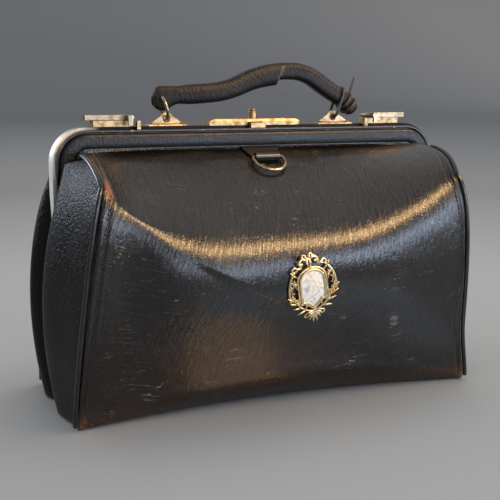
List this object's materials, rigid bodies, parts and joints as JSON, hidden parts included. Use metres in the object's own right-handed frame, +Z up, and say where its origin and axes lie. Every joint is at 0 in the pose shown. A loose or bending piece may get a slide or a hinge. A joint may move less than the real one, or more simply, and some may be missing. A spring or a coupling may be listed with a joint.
{
  "type": "doctors bag",
  "caption": "Black leather doctor's bag: hinged steel jaws with sliding catches and a push-button lock, folded gussets, padded handle and a brooch on the sagging front.",
  "frame": {"origin": "on the floor under the middle of the base, below the parting plane of the two jaws", "axes": "+X along the length to the right, -Y to the front with the brooch, +Z up"},
  "size_m": [0.3974, 0.2123, 0.2878],
  "materials": {
    "black_leather": "worn glossy straight-grain",
    "band_leather": "satin",
    "nickel": "worn nickel plate",
    "black_steel": "black japanned",
    "brass": "tarnished pale brass",
    "pearl": "mother of pearl",
    "cloth": "plain brown cotton",
    "board": "plain"
  },
  "bodies": {
    "body": {"rear_frame": "nickel", "rear_frame_cover": "band_leather", "left_hinge_pin": "black_steel", "right_hinge_pin": "black_steel", "front_panel": "black_leather", "back_panel": "black_leather", "bottom_panel": "black_leather", "left_gusset": "black_leather", "right_gusset": "black_leather", "front_left_welt": "black_leather", "front_right_welt": "black_leather", "back_left_welt": "black_leather", "back_right_welt": "black_leather", "front_lining": "cloth", "back_lining": "cloth", "base_board": "board", "left_handle_mount": "brass", "right_handle_mount": "brass", "lock_case": "brass", "lock_spring": "nickel", "left_catch_base": "brass", "right_catch_base": "brass", "hardware_rivets": "brass", "brooch_frame": "brass", "brooch_pearl": "pearl"},
    "front_jaw": {"front_frame": "black_steel", "front_frame_cover": "band_leather", "lock_tongue": "brass", "left_catch_post": "brass", "right_catch_post": "brass", "ring_tab": "black_leather"},
    "handle": {"handle": "black_leather", "handle_ring": "brass", "handle_lace": "black_leather"},
    "lock_button": {"lock_button": "brass"},
    "left_slide": {"left_catch_slide": "brass"},
    "right_slide": {"right_catch_slide": "brass"},
    "dee_ring": {"dee_ring": "brass"}
  },
  "joints": [
    {"name": "jaw_open", "type": "hinge", "parent": "body", "child": "front_jaw", "pos_m": [0, 0, 0.137], "axis": [1, 0, 0], "range_deg": [0, 50], "deforming": ["front_panel", "left_gusset", "right_gusset", "front_lining", "front_left_welt", "front_right_welt"]},
    {"name": "handle_swing", "type": "hinge", "parent": "body", "child": "handle", "pos_m": [0, 0.0075, 0.24], "axis": [1, 0, 0], "range_deg": [-35, 35]},
    {"name": "button_press", "type": "slide", "parent": "body", "child": "lock_button", "axis": [0, 0, -1], "range_m": [0, 0.002], "stiffness_N_per_m": 600, "springref_m": -0.0005, "deforming": ["lock_spring"]},
    {"name": "left_catch", "type": "slide", "parent": "body", "child": "left_slide", "axis": [1, 0, 0], "range_m": [0, 0.008]},
    {"name": "right_catch", "type": "slide", "parent": "body", "child": "right_slide", "axis": [-1, 0, 0], "range_m": [0, 0.008]},
    {"name": "dee_swing", "type": "hinge", "parent": "front_jaw", "child": "dee_ring", "pos_m": [0, -0.02473, 0.20803], "axis": [-1, 0, 0], "range_deg": [0, 110]}
  ]
}
